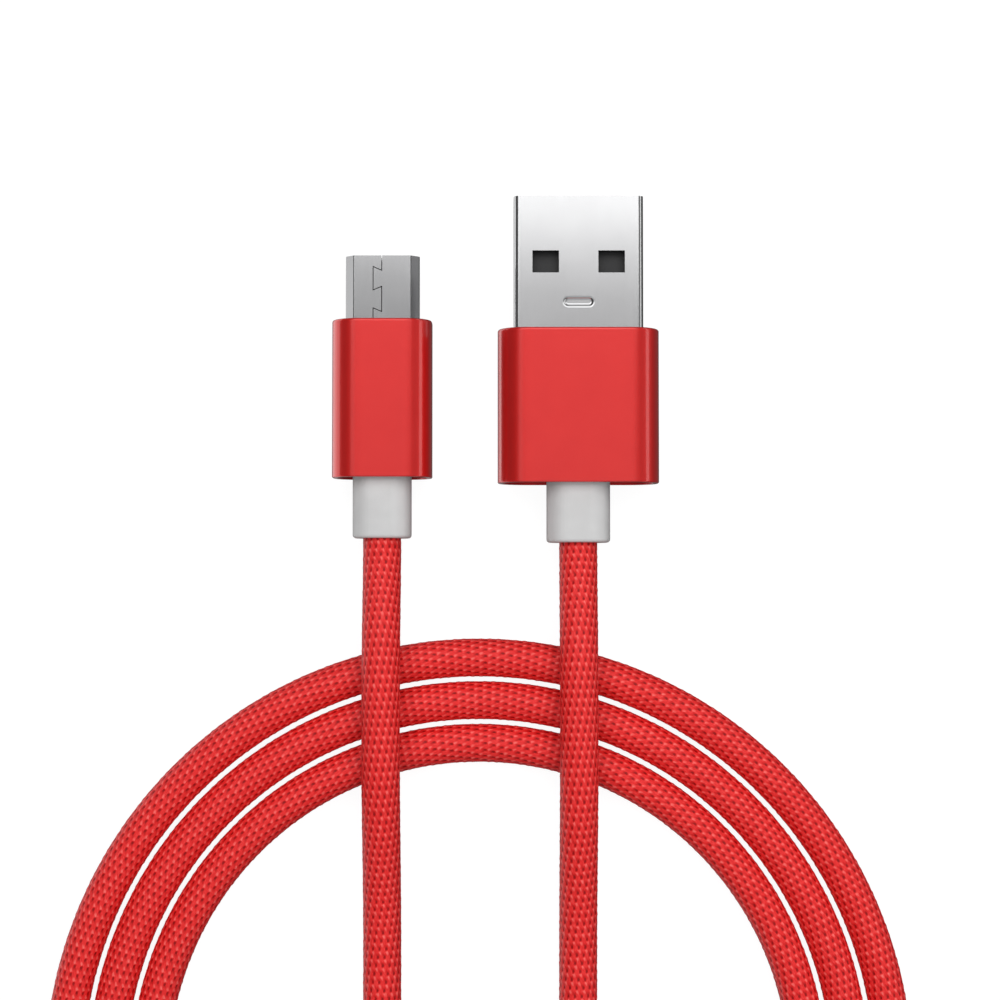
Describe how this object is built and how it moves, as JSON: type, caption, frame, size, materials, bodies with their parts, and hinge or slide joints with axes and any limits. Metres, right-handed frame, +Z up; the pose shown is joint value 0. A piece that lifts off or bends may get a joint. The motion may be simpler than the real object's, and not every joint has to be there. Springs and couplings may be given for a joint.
{
  "type": "charging cable",
  "caption": "Charging cable lying in a flat coil: braided cord with a wide rectangular plug on one end and a small chamfered plug with sprung latches on the other.",
  "frame": {"origin": "on the surface that the cable lies on, under the middle of the two plugs' bounding box", "axes": "+Y towards the tips of the plugs, +Z up from the surface, +X from the small plug to the wide plug"},
  "size_m": [0.0807, 0.1497, 0.0075],
  "materials": {
    "nickel_shell": "bright nickel plating with a fine drawn grain",
    "red_aluminium": "satin red anodising over a fine bead-blasted surface",
    "grey_plastic": "smooth moulded light grey, semi-matt",
    "black_plastic": "moulded black, matt",
    "gold_contact": "gold flash",
    "spring_steel": "plain, stamped",
    "cord_jacket": "plain grey, matt",
    "wire_red": "smooth insulation",
    "wire_white": "smooth insulation",
    "wire_green": "smooth insulation",
    "wire_black": "smooth insulation",
    "red_braid": "braided polyester yarn, bright red, slight sheen"
  },
  "bodies": {
    "cable": {"cord_coil": "red_braid", "cord_lead_micro_b": "red_braid", "cord_lead_usb_a": "red_braid", "micro_b_contact_1": "gold_contact", "micro_b_contact_2": "gold_contact", "micro_b_contact_3": "gold_contact", "micro_b_contact_4": "gold_contact", "micro_b_contact_5": "gold_contact", "micro_b_housing": "red_aluminium", "micro_b_inner_mould": "black_plastic", "micro_b_insulator": "black_plastic", "micro_b_jacket_end": "cord_jacket", "micro_b_shell": "nickel_shell", "micro_b_strain_relief": "grey_plastic", "micro_b_wire_data_minus": "wire_white", "micro_b_wire_data_plus": "wire_green", "micro_b_wire_ground": "wire_black", "micro_b_wire_vbus": "wire_red", "usb_a_contact_data_minus": "gold_contact", "usb_a_contact_data_plus": "gold_contact", "usb_a_contact_ground": "gold_contact", "usb_a_contact_vbus": "gold_contact", "usb_a_housing": "red_aluminium", "usb_a_inner_mould": "black_plastic", "usb_a_insulator": "black_plastic", "usb_a_jacket_end": "cord_jacket", "usb_a_shell": "nickel_shell", "usb_a_strain_relief": "grey_plastic", "usb_a_wire_data_minus": "wire_white", "usb_a_wire_data_plus": "wire_green", "usb_a_wire_ground": "wire_black", "usb_a_wire_vbus": "wire_red"},
    "latch_left": {"micro_b_latch_left": "spring_steel"},
    "latch_right": {"micro_b_latch_right": "spring_steel"}
  },
  "joints": [
    {"name": "latch_left_press", "type": "hinge", "parent": "cable", "child": "latch_left", "pos_m": [-0.0125, 0.0022, 0.0029], "axis": [1, 0, 0], "range_deg": [0, 3], "stiffness_Nm_per_rad": 0.15},
    {"name": "latch_right_press", "type": "hinge", "parent": "cable", "child": "latch_right", "pos_m": [-0.0086, 0.0022, 0.0029], "axis": [1, 0, 0], "range_deg": [0, 3], "stiffness_Nm_per_rad": 0.15}
  ]
}
